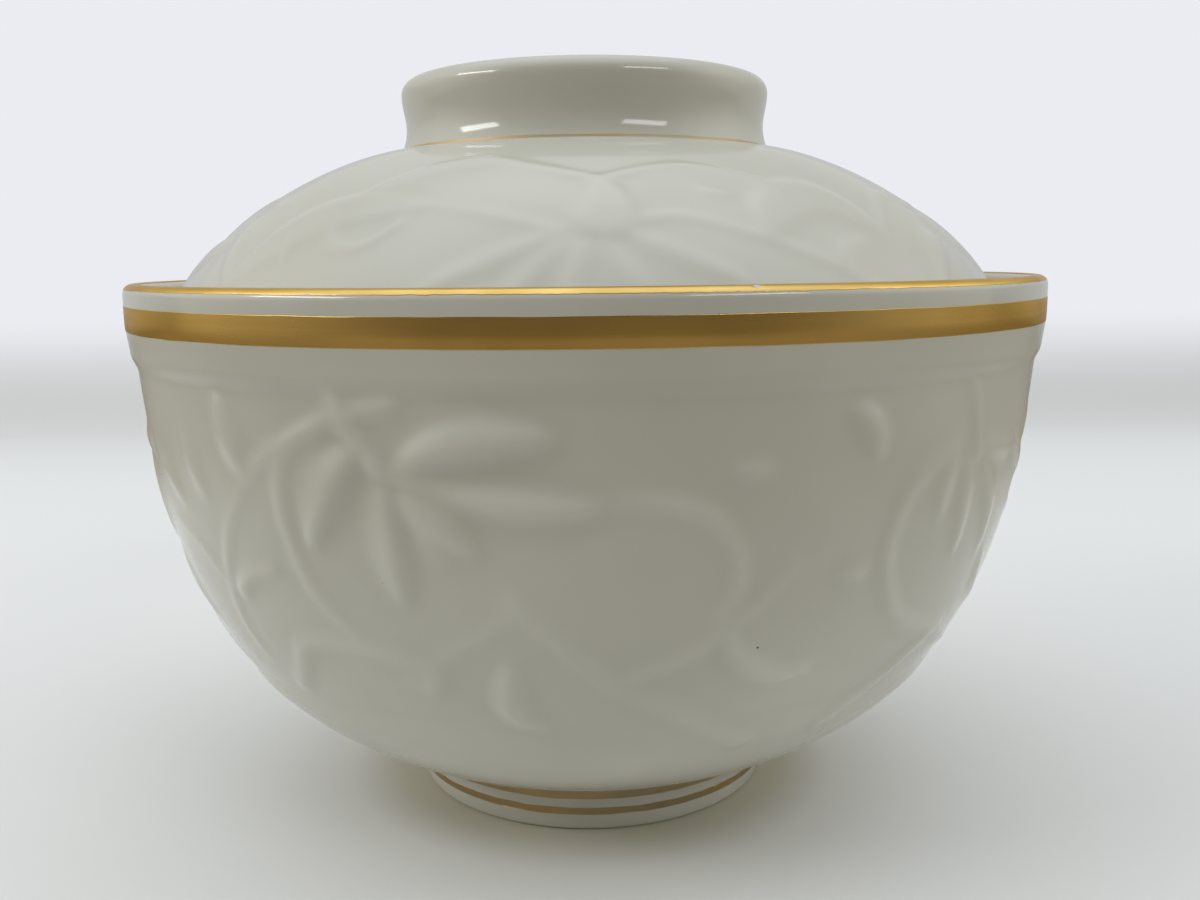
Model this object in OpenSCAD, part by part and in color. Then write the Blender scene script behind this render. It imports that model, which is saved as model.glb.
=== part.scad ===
// Lidded bowl: a moulded porcelain bowl on a turned foot ring, with a domed lid that
// drops inside its rim. The lid's grip is a second ring, so it can stand upside down.
// Gilt lines are fired on and lie flush in the glaze.
// Every form is a revolve about Z, and the table is at Z = 0.

/* [Bowl] */
// Radius of the bowl outside, at its lip
rim_r = 62; // [56:0.5:72]
// Height of the lip above the table
rim_h = 72; // [66:0.5:84]
// Thickness of the wall at the lip
lip_wall = 2.7; // [2.6:0.1:4]
// Rounding of the lip
lip_round = 1.2; // [0.6:0.1:1.2]
// Height of the smooth collar below the lip
collar_w = 8.6; // [7:0.1:12]
// Narrowing of the collar down to the moulded wall
collar_taper = 0.45; // [0.1:0.05:1]
// Height over which the collar narrows
collar_taper_h = 4.1; // [2:0.1:5]
// Angle at which the belly leaves the foot, above level
belly_flare = 19.5; // [12:0.5:26]
// Length over which the belly keeps that angle
belly_pull = 31; // [24:0.5:34]
// Lean of the wall from upright, where it meets the collar
wall_lean = 4.5; // [2:0.5:7]
// Length over which the wall keeps that lean
wall_pull = 24; // [16:0.5:28]
// Thickness of the wall low on the belly
belly_wall = 3.8; // [3:0.1:4.6]
// Thickness of the floor over the hollow of the foot
floor_wall = 4.4; // [3.6:0.1:6]

/* [Foot] */
// Radius of the foot ring outside, at the table
foot_base_r = 25.2; // [22:0.1:26]
// Radius of the foot ring outside, where the belly leaves it
foot_top_r = 26.7; // [26:0.1:29]
// Height of the foot ring
foot_h = 6.7; // [6:0.1:7.5]
// Width of the ring that stands on the table
foot_wall = 3.4; // [2.8:0.1:5]
// Rounding of the foot ring's edges
foot_round = 0.8; // [0.3:0.1:1.2]
// Depth of the hollow under the bowl
well_depth = 5; // [4.6:0.1:5.6]
// Hollow fillets of glaze in the corners
glaze_fillet = 1; // [0.4:0.1:1.6]

/* [Lid] */
// Rise of the dome above the bowl's lip, at the grip ring
dome_rise = 16.9; // [14:0.1:22]
// Depth of the lid's edge below the lip
lid_drop = 10.6; // [9:0.1:13]
// Gap between the lid's edge and the inner wall that it rests on
seat_gap = 0.3; // [0.2:0.05:0.6]
// Thickness of the lid at its edge
lid_wall = 2.7; // [2.6:0.1:4]
// Rounding of the lid's edge
lid_round = 1.2; // [0.6:0.1:1.2]
// Slope of the dome where it leaves the grip ring
dome_slope = 2; // [0:0.5:6]
// Length over which the dome keeps that slope
dome_pull = 8.5; // [5:0.5:12]
// Lean of the dome from upright, at its edge
skirt_lean = 12; // [8:0.5:16]
// Length over which the dome keeps that lean
skirt_pull = 16; // [12:0.5:20]
// Thickness of the dome by the grip ring
dome_wall = 3.5; // [2.8:0.1:5]
// Rise of the floor inside the grip ring above the dome around it
crown_rise = 1.1; // [0.2:0.1:2]

/* [Grip ring] */
// Radius of the grip ring outside, at its widest
grip_r = 25.3; // [22:0.1:28]
// Height of the grip ring above the dome
grip_h = 9.7; // [8:0.1:12]
// Width of the ring at its top
grip_wall = 3.8; // [3.5:0.1:5]
// Depth of the waist under the ring's edge
waist = 0.55; // [0.1:0.05:1.2]
// Height of the waist above the dome
waist_h = 3.3; // [2:0.1:5]
// Spread of the ring's wall from its waist down to the dome
grip_spread = 0.8; // [0.2:0.1:1.4]
// Rounding of the ring's outer edge
grip_round = 2; // [1:0.1:2.4]
// Rounding of the ring's inner edge
grip_inner_round = 0.7; // [0.3:0.1:1]

/* [Gilding] */
// Thickness of the gilding
gilding_t = 0.1; // [0.05:0.01:0.2]
// Reach of the lip's gilding down the outside
lip_gilding_out = 0.65; // [0.4:0.05:1.1]
// Reach of the lip's gilding down the inside
lip_gilding_in = 0.9; // [0.4:0.05:1.1]
// Distance of the wide band below the lip
band_drop = 2.6; // [2:0.1:3.5]
// Width of the wide band
band_w = 3.1; // [2:0.1:3.4]
// Height of the lower foot line above the table
low_line_h = 2.45; // [1.6:0.05:2.8]
// Width of the lower foot line
low_line_w = 1.15; // [0.6:0.05:1.2]
// Distance of the upper foot line's lower edge below the belly
high_line_drop = 1.8; // [1.5:0.05:1.9]
// Width of the upper foot line
high_line_w = 1.4; // [0.6:0.05:1.5]
// Width of the fine line round the base of the grip ring
grip_line_w = 0.35; // [0.3:0.05:0.8]

/* [Hidden] */
$fn = 160;
curve_steps = 20;
arc_steps = 6;
blend_steps = 8;
overrun = 1;
// How far a blend between two walls keeps their directions, as a share of its height
blend_pull_share = 0.35;
// The first step of the belly's curve that the inner wall follows, and how far the
// floor keeps its directions, as shares of its width
floor_step = 6;
rise_pull_share = 0.25;
floor_pull_share = 0.6;

// Where one piece meets another
collar_h = rim_h - collar_w;
field_r = rim_r - collar_taper;
lip_in_r = rim_r - lip_wall;
foot_in_r = foot_base_r - foot_wall;
floor_h = well_depth + floor_wall;
dome_h = rim_h + dome_rise;
total_h = dome_h + grip_h;
lid_edge_h = rim_h - lid_drop;
grip_in_r = grip_r - grip_wall;
waist_r = grip_r - waist;
grip_base_r = waist_r + grip_spread;
lid_floor_h = dome_h + crown_rise;

function unit(v) = v / norm(v);
function heading(angle) = [cos(angle), sin(angle)];

// A smooth curve that leaves one point at one angle and reaches another at another
function curve(from, from_angle, from_pull, to, to_angle, to_pull, steps = curve_steps) =
    let (p1 = from + from_pull * heading(from_angle), p2 = to - to_pull * heading(to_angle))
    [for (i = [0:steps]) let (t = i / steps, s = 1 - t)
        s^3 * from + 3 * s^2 * t * p1 + 3 * s * t^2 * p2 + t^3 * to];

// A blend between two walls, one above the other
function blend(from, from_angle, to, to_angle) =
    let (pull = blend_pull_share * abs(to.y - from.y))
    curve(from, from_angle, pull, to, to_angle, pull, blend_steps);

// The arc that runs straight down from one point and spreads out to another
function spread_arc(top, base) =
    let (out = base.x - top.x, drop = top.y - base.y, r = (drop^2 + out^2) / (2 * out))
    [for (i = [0:arc_steps]) let (angle = asin(drop / r) * i / arc_steps)
        top + r * [1 - cos(angle), -sin(angle)]];

// The direction in which a path runs at one of its points
function bearing(path, i) =
    let (step = path[min(i + 1, len(path) - 1)] - path[max(i - 1, 0)]) atan2(step.y, step.x);

// A path laid to the left of another, at a distance that grows along it from t0 to t1
function beside(path, t0, t1) =
    [for (i = [0:len(path) - 1])
        path[i] + (t0 + (t1 - t0) * i / (len(path) - 1)) * heading(bearing(path, i) + 90)];

// The arc that rounds the corner at b, between the neighbours a and c
function corner(a, b, c, r) =
    let (u = unit(a - b), v = unit(c - b), half = acos(u * v) / 2,
         centre = b + unit(u + v) * r / sin(half),
         from = b + u * r / tan(half) - centre, to = b + v * r / tan(half) - centre,
         a0 = atan2(from.y, from.x), turn = (atan2(to.y, to.x) - a0 + 540) % 360 - 180)
    [for (i = [0:arc_steps]) centre + r * heading(a0 + turn * i / arc_steps)];

// A list without its first point, and one in the other order down to a given point
function rest_of(path) = [for (i = [1:len(path) - 1]) path[i]];
function back_to(path, first) = [for (i = [len(path) - 1:-1:first]) path[i]];

// The radius at which a falling path crosses a height
function radius_at(path, h) =
    [for (i = [1:len(path) - 1]) if (path[i - 1].y >= h && path[i].y < h)
        let (share = (path[i - 1].y - h) / (path[i - 1].y - path[i].y))
        path[i - 1].x + share * (path[i].x - path[i - 1].x)][0];

// Outlines of the bowl, as [radius, height]
belly = curve([foot_top_r, foot_h], belly_flare, belly_pull,
              [field_r, collar_h], 90 - wall_lean, wall_pull);
inner_belly = beside(belly, belly_wall, lip_wall);
floor_start = inner_belly[floor_step];
inner_wall = concat(
    [[lip_in_r, rim_h - lip_round]],
    back_to(inner_belly, floor_step),
    rest_of(curve(floor_start, bearing(belly, floor_step) + 180, rise_pull_share * floor_start.x,
                  [0, floor_h], 180, floor_pull_share * floor_start.x)));
foot_corner = [foot_top_r, foot_h];
foot_edge = [foot_base_r, 0];
foot_inner_edge = [foot_in_r, 0];
well_corner = [foot_in_r, well_depth];
collar = blend([field_r, collar_h], 90 - wall_lean, [rim_r, collar_h + collar_taper_h], 90);

function lip_arc(inset) = concat(
    corner([rim_r - inset, 0], [rim_r - inset, rim_h - inset], [0, rim_h - inset], lip_round - inset),
    corner([rim_r, rim_h - inset], [lip_in_r + inset, rim_h - inset], [lip_in_r + inset, 0],
           lip_round - inset));

bowl_outline = concat(
    [[0, well_depth]],
    corner([0, well_depth], well_corner, foot_inner_edge, glaze_fillet),
    corner(well_corner, foot_inner_edge, foot_edge, foot_round),
    corner(foot_inner_edge, foot_edge, foot_corner, foot_round),
    corner(foot_edge, foot_corner, belly[1], glaze_fillet),
    rest_of(belly),
    rest_of(collar),
    lip_arc(0),
    rest_of(inner_wall));

// Outlines of the lid
lid_edge_r = radius_at(inner_wall, lid_edge_h + lid_round) - seat_gap;
lid_edge = [lid_edge_r, lid_edge_h];
lid_inner_edge = [lid_edge_r - lid_wall, lid_edge_h];
dome = curve([grip_base_r, dome_h], -dome_slope, dome_pull,
             [lid_edge_r, lid_edge_h + lid_round], skirt_lean - 90, skirt_pull);
hollow = back_to(beside(dome, -dome_wall, -lid_wall), 0);
grip_widest = [grip_r, total_h - grip_round];
grip_waist = [waist_r, dome_h + waist_h];
grip_base = [grip_base_r, dome_h];
grip_side = concat(rest_of(blend(grip_widest, -90, grip_waist, -90)),
                   rest_of(spread_arc(grip_waist, grip_base)));
grip_corner = [grip_r, total_h];
grip_inner_corner = [grip_in_r, total_h];
grip_well_corner = [grip_in_r, lid_floor_h];

lid_outline = concat(
    [[0, lid_floor_h]],
    corner([0, lid_floor_h], grip_well_corner, grip_inner_corner, glaze_fillet),
    corner(grip_well_corner, grip_inner_corner, grip_corner, grip_inner_round),
    corner(grip_inner_corner, grip_corner, [grip_r, 0], grip_round),
    grip_side,
    rest_of(dome),
    corner([lid_edge_r, rim_h], lid_edge, lid_inner_edge, lid_round),
    corner(lid_edge, lid_inner_edge, [lid_inner_edge.x, rim_h], lid_round),
    rest_of(hollow),
    [[0, dome_h - dome_wall]]);

module bowl_section() polygon(bowl_outline);
module lid_section() polygon(lid_outline);

// A strip of the bowl's outside, as deep as the gilding, from a height up
module wall_strip(h, w)
    difference() {
        intersection() {
            bowl_section();
            translate([0, h]) square([rim_r + overrun, w]);
        }
        translate([-gilding_t, 0]) bowl_section();
    }

module low_strip() wall_strip(low_line_h, low_line_w);
module high_strip() wall_strip(foot_h - high_line_drop, high_line_w);
module band_strip() wall_strip(rim_h - band_drop - band_w, band_w);

module lip_strip()
    difference() {
        intersection() {
            bowl_section();
            union() {
                translate([rim_r - lip_wall / 2, rim_h - lip_gilding_out])
                    square([lip_wall, lip_wall]);
                translate([lip_in_r - lip_wall / 2, rim_h - lip_gilding_in])
                    square([lip_wall, lip_wall]);
            }
        }
        polygon(concat(lip_arc(gilding_t), [[lip_in_r + gilding_t, 0], [rim_r - gilding_t, 0]]));
    }

// The strip at the foot of the grip ring
module grip_strip()
    intersection() {
        lid_section();
        difference() {
            translate(grip_base - [overrun, 0]) square([2 * overrun, grip_line_w]);
            translate([-gilding_t, 0]) lid_section();
        }
    }

// Moulded bowl with its foot ring, its hollow foot and its collar
module bowl_body()
    color("#dcdcd2")
    rotate_extrude()
    difference() {
        bowl_section();
        lip_strip();
        band_strip();
        low_strip();
        high_strip();
    }

// Gilding that wraps over the lip
module lip_gilding() color("#c9a455") rotate_extrude() lip_strip();

// Wide gilt band below the lip
module band_gilding() color("#a8843c") rotate_extrude() band_strip();

// Lower gilt line round the foot ring
module foot_line_low() color("#a8843c") rotate_extrude() low_strip();

// Upper gilt line, just below the belly
module foot_line_high() color("#a8843c") rotate_extrude() high_strip();

// Domed lid with its grip ring
module lid_body()
    color("#e2e2d8")
    rotate_extrude()
    difference() {
        lid_section();
        grip_strip();
    }

// Fine line where the grip ring meets the dome
module grip_line() color("#9a7b45") rotate_extrude() grip_strip();

bowl_body();
lip_gilding();
band_gilding();
foot_line_low();
foot_line_high();
lid_body();
grip_line();
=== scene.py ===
# Lidded porcelain bowl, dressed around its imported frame: a moulded vine under clear glaze, and fired gold
import math

import bpy
import numpy as np
from mathutils import Matrix, Vector


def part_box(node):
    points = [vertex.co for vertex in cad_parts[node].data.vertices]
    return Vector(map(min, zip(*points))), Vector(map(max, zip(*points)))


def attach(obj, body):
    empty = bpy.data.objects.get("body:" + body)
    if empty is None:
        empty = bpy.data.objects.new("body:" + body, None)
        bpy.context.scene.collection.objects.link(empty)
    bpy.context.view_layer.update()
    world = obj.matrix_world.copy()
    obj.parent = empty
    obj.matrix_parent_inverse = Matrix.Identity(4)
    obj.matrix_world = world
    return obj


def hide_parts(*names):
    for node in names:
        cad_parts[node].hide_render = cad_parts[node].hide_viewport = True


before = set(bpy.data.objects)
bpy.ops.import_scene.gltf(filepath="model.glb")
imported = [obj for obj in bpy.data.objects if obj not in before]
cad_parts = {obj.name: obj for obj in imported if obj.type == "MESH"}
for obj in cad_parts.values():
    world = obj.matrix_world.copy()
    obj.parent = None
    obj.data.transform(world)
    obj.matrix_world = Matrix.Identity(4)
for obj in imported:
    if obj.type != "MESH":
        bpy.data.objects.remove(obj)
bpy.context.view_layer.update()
print("Frame loaded with", len(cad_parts), "nodes")

mm = 0.001


# Shared helpers for outlines, in millimetres as (radius, height)

def heading(degrees):
    angle = math.radians(degrees)
    return np.array([math.cos(angle), math.sin(angle)])


def curveBetween(start, startAngle, startPull, end, endAngle, endPull, steps=400):
    start, end = np.array(start, float), np.array(end, float)
    pullOut = start + startPull * heading(startAngle)
    pullIn = end - endPull * heading(endAngle)
    t = np.linspace(0, 1, steps + 1)[:, None]
    s = 1 - t
    return s ** 3 * start + 3 * s ** 2 * t * pullOut + 3 * s * t ** 2 * pullIn + t ** 3 * end


blendPull = 0.35  # share of a blend's height over which it keeps each wall's direction


def blend(start, startAngle, end, endAngle, steps=10):  # a soft step between two walls, one above the other
    pull = blendPull * abs(end[1] - start[1])
    return curveBetween(start, startAngle, pull, end, endAngle, pull, steps)


def lengthAlong(path):
    return np.concatenate([[0], np.cumsum(np.hypot(*np.diff(path, axis=0).T))])


def sideways(path):  # unit vectors to the right of a path at each of its points
    step = np.gradient(path, axis=0)
    step /= np.hypot(step[:, 0], step[:, 1])[:, None]
    return np.stack([step[:, 1], -step[:, 0]], 1)


def evenly(path, spacing):
    along = lengthAlong(path)
    count = max(2, round(along[-1] / spacing) + 1)
    return np.stack([np.interp(np.linspace(0, along[-1], count), along, path[:, k]) for k in (0, 1)], 1)


def corner(before, at, after, radius, steps=8):  # the arc that rounds a corner
    before, at, after = (np.array(p, float) for p in (before, at, after))
    toBefore = (before - at) / np.linalg.norm(before - at)
    toAfter = (after - at) / np.linalg.norm(after - at)
    half = math.acos(float(toBefore @ toAfter)) / 2
    middle = toBefore + toAfter
    centre = at + middle / np.linalg.norm(middle) * radius / math.sin(half)
    first = at + toBefore * radius / math.tan(half) - centre
    last = at + toAfter * radius / math.tan(half) - centre
    startAngle = math.atan2(first[1], first[0])
    turn = (math.atan2(last[1], last[0]) - startAngle + 3 * math.pi) % (2 * math.pi) - math.pi
    return np.array([centre + radius * heading(math.degrees(startAngle + turn * i / steps))
                     for i in range(steps + 1)])


def join(*runs, spacing=1.0):  # one outline from several runs, with long straights divided
    points = [np.array(runs[0][0], float)]
    for run in runs:
        for point in np.array(run, float):
            start = points[-1]
            gap = np.linalg.norm(point - start)
            if gap < 1e-6:  # two runs share this point
                continue
            parts = max(1, math.ceil(gap / spacing))
            points += [start + (point - start) * i / parts for i in range(1, parts + 1)]
    return np.array(points)


# Relief pressed into a turned wall

def smoothStep(value):
    value = np.clip(value, 0, 1)
    return value ** 2 * (3 - 2 * value)


def throughPoints(points, perSpan=8):  # a smooth line through given points
    p = np.array([points[0], *points, points[-1]], float)
    t = (np.arange(perSpan) / perSpan)[:, None]
    line = [0.5 * (2 * b + (c - a) * t + (2 * a - 5 * b + 4 * c - d) * t ** 2
                   + (3 * b - a - 3 * c + d) * t ** 3)
            for a, b, c, d in zip(p, p[1:], p[2:], p[3:])]
    return np.concatenate([*line, p[-1:]])


def soften(field, times):  # rounds every edge a little, as glaze does
    for _ in range(times):
        rows = np.vstack([field[:1], field, field[-1:]])
        field = (2 * field + np.roll(field, 1, 1) + np.roll(field, -1, 1) + rows[2:] + rows[:-2]) / 6
    return field


# How every leaf is cut: the powers that give its outline, crest and slopes their fullness, the share of
# its height that is left at its two points, and half its width there in mm
leafCut = dict(outline=0.7, crest=0.5, slope=1.1, endHeight=0.3, endWidth=0.02)


def pressRelief(radius, along, columns, vine):
    # Height of the relief at every row and column, from lines given in degrees and mm along the wall
    turn = 360 / vine["turns"]
    degrees = (np.arange(columns // vine["turns"]) + 0.5) * 360 / columns - turn / 2
    arc = np.radians(1) * radius[:, None, None]
    total = np.zeros((len(along), len(degrees)))
    for part in vine["parts"]:
        line = throughPoints(part["line"])
        leafy = "tip" in part
        wide = np.max(part["width"]) / 2
        rows = (along > line[:, 1].min() - wide) & (along < line[:, 1].max() + wide)
        away = (degrees[None, :, None] - line[:-1, 0] + turn / 2) % turn - turn / 2
        dx = away * arc[rows]
        dy = along[rows][:, None, None] - line[:-1, 1]
        ex = np.diff(line[:, 0]) * arc[rows]
        ey = np.diff(line[:, 1])
        t = np.clip((dx * ex + dy * ey) / (ex ** 2 + ey ** 2), 0, 1)
        gap = np.hypot(dx - t * ex, dy - t * ey)
        nearest = gap.argmin(2)[..., None]
        gap = np.take_along_axis(gap, nearest, 2)[..., 0]
        share = (nearest + np.take_along_axis(t, nearest, 2))[..., 0] / (len(line) - 1)
        if leafy:  # pointed at both ends, and widest before its middle where tip is under 1
            bulge = np.maximum(np.sin(np.pi * share ** part["tip"]), 0)
            half = wide * bulge ** leafCut["outline"] + leafCut["endWidth"]
            ends = leafCut["endHeight"]
            tall = part["height"] * (ends + (1 - ends) * bulge ** leafCut["crest"])
        else:
            half = np.interp(share, [0, 1], part["width"]) / 2
            tall = np.interp(share, [0, 1], part["height"])
        side = np.take_along_axis(np.sign(ex * dy - ey * dx), nearest, 2)[..., 0]
        half = half * (1 + part.get("lean", 0) * side)  # a ridge can fall more gently on its left hand
        rise = np.clip((1 - gap / half) / (1 - part.get("flat", 0)), 0, 1)
        rise = rise ** leafCut["slope"] if leafy and "flat" not in part else smoothStep(rise)
        total[rows] += (tall * rise) ** vine["blend"]
    heights = vine["depth"] * np.tile(total ** (1 / vine["blend"]), (1, vine["turns"]))
    return soften(heights, vine["softness"])


# Turned meshes

def ringPoints(count, radius, height):
    angle = (np.arange(count) + 0.5) * 2 * math.pi / count - math.pi
    return np.stack([radius * np.sin(angle), -radius * np.cos(angle), height + 0 * angle], -1)


def addObject(name, points, faces, places=None, materials=()):  # a smooth mesh, with its unrolled map
    mesh = bpy.data.meshes.new(name)
    mesh.from_pydata(points, [], faces)
    if places is not None:
        unrolled = mesh.uv_layers.new(name="OFBake")
        unrolled.data.foreach_set("uv", np.array(places, np.float32).ravel())
    mesh.polygons.foreach_set("use_smooth", np.ones(len(faces), bool))
    for material in materials:
        mesh.materials.append(material)
    mesh.update()
    thing = bpy.data.objects.new(name, mesh)
    bpy.context.scene.collection.objects.link(thing)
    return thing


def stitch(first, second, low, high):
    # Faces between two rings of different counts, with their places on the unrolled map
    faces, places = [], []
    ratio = max(len(first), len(second)) // min(len(first), len(second))
    if len(first) == len(second):
        n = len(first)
        for j in range(n):
            k = (j + 1) % n
            faces.append((first[j], first[k], second[k], second[j]))
            places.append(((j / n, low), ((j + 1) / n, low), ((j + 1) / n, high), (j / n, high)))
        return faces, places
    flip = len(first) > len(second)
    few, many = (second, first) if flip else (first, second)
    fewV, manyV = (high, low) if flip else (low, high)
    n, m = len(few), len(many)
    if n == 1:  # a fan about the axis
        runs = [([few[0], many[j], many[(j + 1) % m]],
                 [((j + 0.5) / m, fewV), (j / m, manyV), ((j + 1) / m, manyV)]) for j in range(m)]
    else:
        runs = []
        middle = ratio // 2
        for c in range(n):
            for f in range(ratio):
                j = c * ratio + f
                nearC = c + (f >= middle)
                runs.append(([few[nearC % n], many[(j + 1) % m], many[j % m]],
                             [(nearC / n, fewV), ((j + 1) / m, manyV), (j / m, manyV)]))
            j = c * ratio + middle
            runs.append(([few[c], few[(c + 1) % n], many[j % m]],
                         [(c / n, fewV), ((c + 1) / n, fewV), (j / m, manyV)]))
    for face, place in runs:
        if flip != (n == 1):
            face, place = face[::-1], place[::-1]
        faces.append(tuple(face))
        places.append(tuple(place))
    return faces, places


def turnMesh(name, outline, columns, reliefStart, heights, poolAndShade):
    # Turns an outline about Z. columns gives each point's count. From row reliefStart on, heights lift the
    # wall, in mm, and the last argument says how deep the glaze pools, which also paints shade into the
    # hollows.
    # Each face's row comes back with the mesh
    out = sideways(outline)
    along = lengthAlong(outline)
    rings, verts, poolAndShadeRings, start = [], [], [], 0
    for i, ((radius, height), count) in enumerate(zip(outline, columns)):
        row = i - reliefStart
        moulded = 0 <= row < len(heights)
        lift = heights[row] if moulded else np.zeros(count)
        if count == 1:
            points = np.array([[0, 0, height]])
        else:
            points = ringPoints(count, radius + lift * out[i, 0], height + lift * out[i, 1])
        rings.append(np.arange(start, start + count))
        poolAndShadeRings.append(poolAndShade[row] if moulded else np.zeros(count))
        verts.append(points * mm)
        start += count
    faces, places, bands = [], [], []
    for i, (first, second) in enumerate(zip(rings, rings[1:])):
        low, high = along[i:i + 2] / along[-1]
        newFaces, newPlaces = stitch(first.tolist(), second.tolist(), low, high)
        faces += newFaces
        places += newPlaces
        bands += [i] * len(newFaces)
    thing = addObject(name, np.concatenate(verts).tolist(), faces, [uv for place in places for uv in place])
    pooledAndShaded = thing.data.attributes.new("glazePoolAndShade", "FLOAT", "POINT")
    pooledAndShaded.data.foreach_set("value", np.concatenate(poolAndShadeRings).astype(np.float32))
    return thing, np.array(bands)


# Materials

def linearColour(code):  # sRGB hex to linear red, green and blue
    parts = [int(code[i:i + 2], 16) / 255 for i in (1, 3, 5)]
    return (*[c / 12.92 if c <= 0.04045 else ((c + 0.055) / 1.055) ** 2.4 for c in parts], 1)


def addNode(tree, kind, inputs=None, **settings):
    node = tree.nodes.new(kind)
    for name, value in settings.items():
        setattr(node, name, value)
    for socket, value in (inputs or {}).items():
        if isinstance(value, bpy.types.NodeSocket):
            tree.links.new(value, node.inputs[socket])
        else:
            node.inputs[socket].default_value = value
    return node


def emptyTree(owner):  # the nodes of a new material or world, cleared
    owner.use_nodes = True
    owner.node_tree.nodes.clear()
    return owner.node_tree


def startMaterial(name):
    material = bpy.data.materials.new(name)
    tree = emptyTree(material)
    shader = addNode(tree, "ShaderNodeBsdfPrincipled")
    addNode(tree, "ShaderNodeOutputMaterial", {"Surface": shader.outputs[0]})
    return material, tree, shader


# Clear feldspar glaze over white porcelain, dipped and fired: a wet, even gloss that pools darker in the
# hollows. That darkening is also painted shade in the hollows beside the relief, and the ridges are painted
# lighter
glaze = dict(
    thin="#d3d2c7",
    pooledAndShaded="#b2b0a2",
    speck="#6b675c",
    ior=1.52,
    roughness=(0.07, 0.13),
    cloudSize=22,  # mm between faint changes of tone
    cloudNoise=(0.35, 0.65),  # the noise's values between which the clouds change
    cloudTone=(0.32, 0.5),  # how far the clouds are from thin to pooled
    rippleSize=5,  # mm between the swells in the glaze
    rippleDepth=0.012,  # mm
    speckSpacing=11,  # mm between iron specks
    speckSize=0.3,  # mm
    # the next three set how the glaze pools in the hollows, which also paints shade there and lightens the
    # ridges
    gatherAndShade=0.7,  # change of tone for each mm that a place lies below what is round it
    poolAndShadeReach=24,  # how often the relief is softened to find what is round a place
    poolAndShadeLimits=(-0.25, 0.4),  # the least and the most change
)


def glazedPorcelain():
    g = glaze
    material, tree, shader = startMaterial("glazedPorcelain")
    place = addNode(tree, "ShaderNodeTexCoord").outputs["Object"]
    cloud = addNode(tree, "ShaderNodeTexNoise", {
        "Vector": place, "Scale": 1 / (g["cloudSize"] * mm), "Detail": 2})
    clouds = {"Value": cloud.outputs["Fac"], "From Min": g["cloudNoise"][0], "From Max": g["cloudNoise"][1]}
    # how deep the glaze pools at each point, which also paints shade into the hollows
    depth = addNode(tree, "ShaderNodeAttribute", attribute_name="glazePoolAndShade")
    tone = addNode(tree, "ShaderNodeMapRange", clouds | {
        "To Min": g["cloudTone"][0], "To Max": g["cloudTone"][1]})
    pooledAndShaded = addNode(tree, "ShaderNodeMath", {0: depth.outputs["Fac"], 1: tone.outputs[0]},
                     operation="ADD", use_clamp=True)
    body = addNode(tree, "ShaderNodeMix", {
        "Factor": pooledAndShaded.outputs[0], "A": linearColour(g["thin"]), "B": linearColour(g["pooledAndShaded"])},
        data_type="RGBA")
    cells = addNode(tree, "ShaderNodeTexVoronoi", {"Vector": place, "Scale": 1 / (g["speckSpacing"] * mm)})
    dot = addNode(tree, "ShaderNodeMath", {
        0: cells.outputs["Distance"], 1: g["speckSize"] / 2 / g["speckSpacing"]}, operation="LESS_THAN")
    colour = addNode(tree, "ShaderNodeMix", {
        "Factor": dot.outputs[0], "A": body.outputs["Result"], "B": linearColour(g["speck"])},
        data_type="RGBA")
    gloss = addNode(tree, "ShaderNodeMapRange", clouds | {
        "To Min": g["roughness"][0], "To Max": g["roughness"][1]})
    ripple = addNode(tree, "ShaderNodeTexNoise", {
        "Vector": place, "Scale": 1 / (g["rippleSize"] * mm), "Detail": 1})
    swell = addNode(tree, "ShaderNodeBump", {
        "Height": ripple.outputs["Fac"], "Strength": 1, "Distance": g["rippleDepth"] * mm})
    tree.links.new(colour.outputs["Result"], shader.inputs["Base Color"])
    tree.links.new(gloss.outputs[0], shader.inputs["Roughness"])
    tree.links.new(swell.outputs[0], shader.inputs["Normal"])
    shader.inputs["IOR"].default_value = g["ior"]
    return material


# Bare porcelain where the rings stood in the kiln, ground smooth: white and dry, with no gloss
bareClay = dict(
    colour="#d9d6cc",
    worn="#bdb8aa",
    roughness=0.62,
    grainSize=0.35,  # mm, drawn coarser than the clay's true grain so that it shows
    grainDepth=0.01,  # mm
)


def barePorcelain():
    c = bareClay
    material, tree, shader = startMaterial("barePorcelain")
    place = addNode(tree, "ShaderNodeTexCoord").outputs["Object"]
    grain = addNode(tree, "ShaderNodeTexNoise", {
        "Vector": place, "Scale": 1 / (c["grainSize"] * mm), "Detail": 4})
    wear = addNode(tree, "ShaderNodeMix", {
        "Factor": grain.outputs["Fac"], "A": linearColour(c["colour"]), "B": linearColour(c["worn"])},
        data_type="RGBA")
    bump = addNode(tree, "ShaderNodeBump", {
        "Height": grain.outputs["Fac"], "Strength": 1, "Distance": c["grainDepth"] * mm})
    tree.links.new(wear.outputs["Result"], shader.inputs["Base Color"])
    tree.links.new(bump.outputs[0], shader.inputs["Normal"])
    shader.inputs["Roughness"].default_value = c["roughness"]
    return material


wearNoise = (0.38, 0.62)  # the noise's values between which the gold's tone and polish change


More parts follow.
